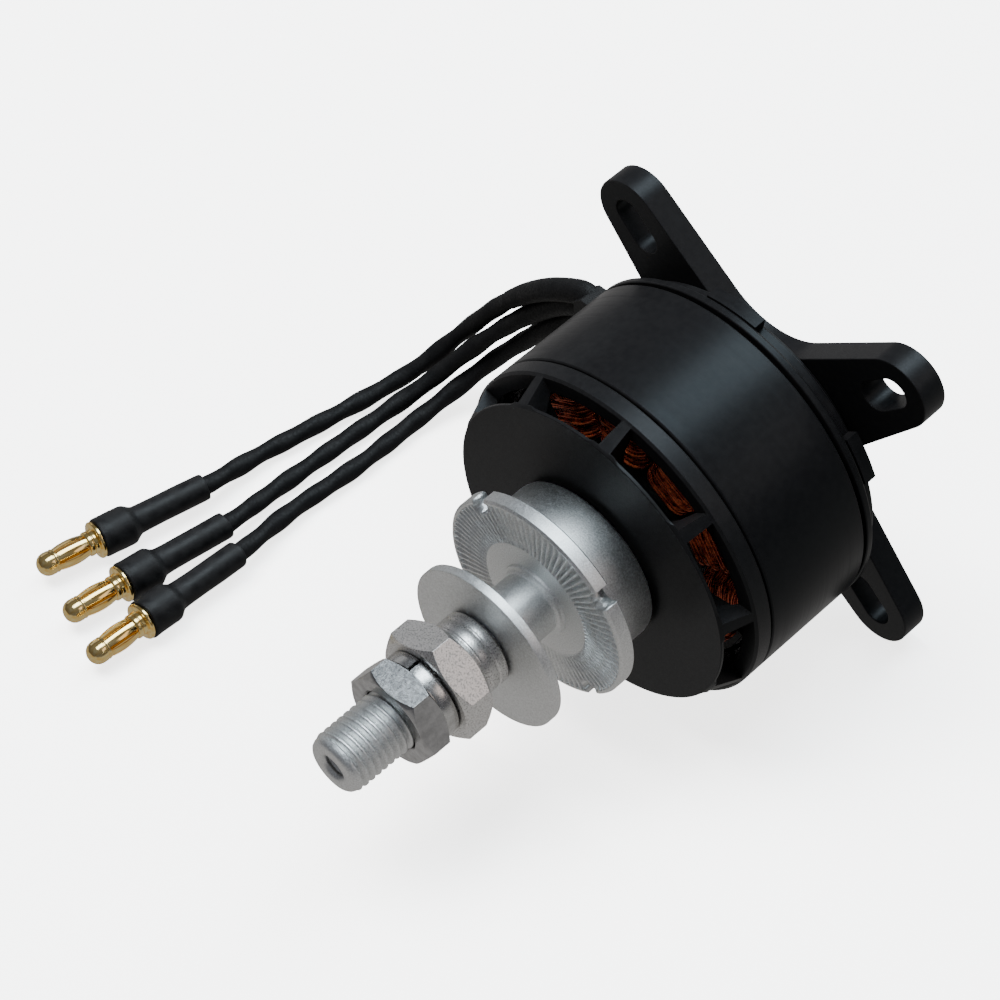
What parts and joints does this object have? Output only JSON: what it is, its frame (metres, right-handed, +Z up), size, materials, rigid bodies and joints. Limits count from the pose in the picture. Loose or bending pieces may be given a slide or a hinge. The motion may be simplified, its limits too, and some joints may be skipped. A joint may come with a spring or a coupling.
{
  "type": "brushless outrunner motor",
  "caption": "Brushless outrunner motor with an X-shaped rear mount, vented front cap, threaded propeller adapter with nuts and washers, and sleeved leads with bullet plugs.",
  "frame": {"origin": "on the supporting surface, under the middle of the motor without its leads and grommet", "axes": "+Z up; the motor lies on its side with its stud end toward -Y, nose down by 5.4 degrees, and its leads on the -X side"},
  "size_m": [0.1053, 0.097, 0.0638],
  "materials": {
    "black_anodised": "satin black anodised aluminium",
    "blasted_silver": "bead-blasted silver aluminium with machined rims",
    "plated_steel": "bright plated steel",
    "core_steel": "stacked steel laminations, dark lacquered",
    "magnet": "nickel-plated magnet",
    "copper": "enamelled copper wire, orange-red",
    "insulation": "dark epoxy insulation",
    "grommet": "matte black rubber",
    "sleeve": "matte black silicone sleeve",
    "heat_shrink": "matte black heat-shrink tube",
    "gold": "polished gold plate"
  },
  "bodies": {
    "stator": {"rear_mount": "black_anodised", "base_ring": "black_anodised", "mount_screw_1": "plated_steel", "mount_screw_2": "plated_steel", "mount_screw_3": "plated_steel", "mount_screw_4": "plated_steel", "bearing_tube": "black_anodised", "bearing_rear_outer": "plated_steel", "bearing_front_outer": "plated_steel", "stator_core": "core_steel", "insulator_rear": "insulation", "insulator_front": "insulation", "coil_01": "copper", "coil_02": "copper", "coil_03": "copper", "coil_04": "copper", "coil_05": "copper", "coil_06": "copper", "coil_07": "copper", "coil_08": "copper", "coil_09": "copper", "coil_10": "copper", "coil_11": "copper", "coil_12": "copper", "lead_grommet": "grommet", "lead_a": "sleeve", "lead_b": "sleeve", "lead_c": "sleeve", "heat_shrink_a": "heat_shrink", "heat_shrink_b": "heat_shrink", "heat_shrink_c": "heat_shrink", "plug_a": "gold", "plug_b": "gold", "plug_c": "gold"},
    "rotor": {"shaft": "plated_steel", "retaining_ring": "plated_steel", "bearing_rear_inner": "plated_steel", "bearing_front_inner": "plated_steel", "rotor_can": "black_anodised", "magnet_01": "magnet", "magnet_02": "magnet", "magnet_03": "magnet", "magnet_04": "magnet", "magnet_05": "magnet", "magnet_06": "magnet", "magnet_07": "magnet", "magnet_08": "magnet", "magnet_09": "magnet", "magnet_10": "magnet", "magnet_11": "magnet", "magnet_12": "magnet", "magnet_13": "magnet", "magnet_14": "magnet", "front_cap": "black_anodised", "prop_adapter": "blasted_silver", "prop_washer": "blasted_silver", "prop_nut": "plated_steel", "spring_washer": "plated_steel", "lock_nut": "plated_steel"}
  },
  "joints": [
    {"name": "rotor_spin", "type": "hinge", "parent": "stator", "child": "rotor", "pos_m": [0, 0.04446, 0.03209], "axis": [0, -0.9956, -0.0937], "continuous": true}
  ]
}
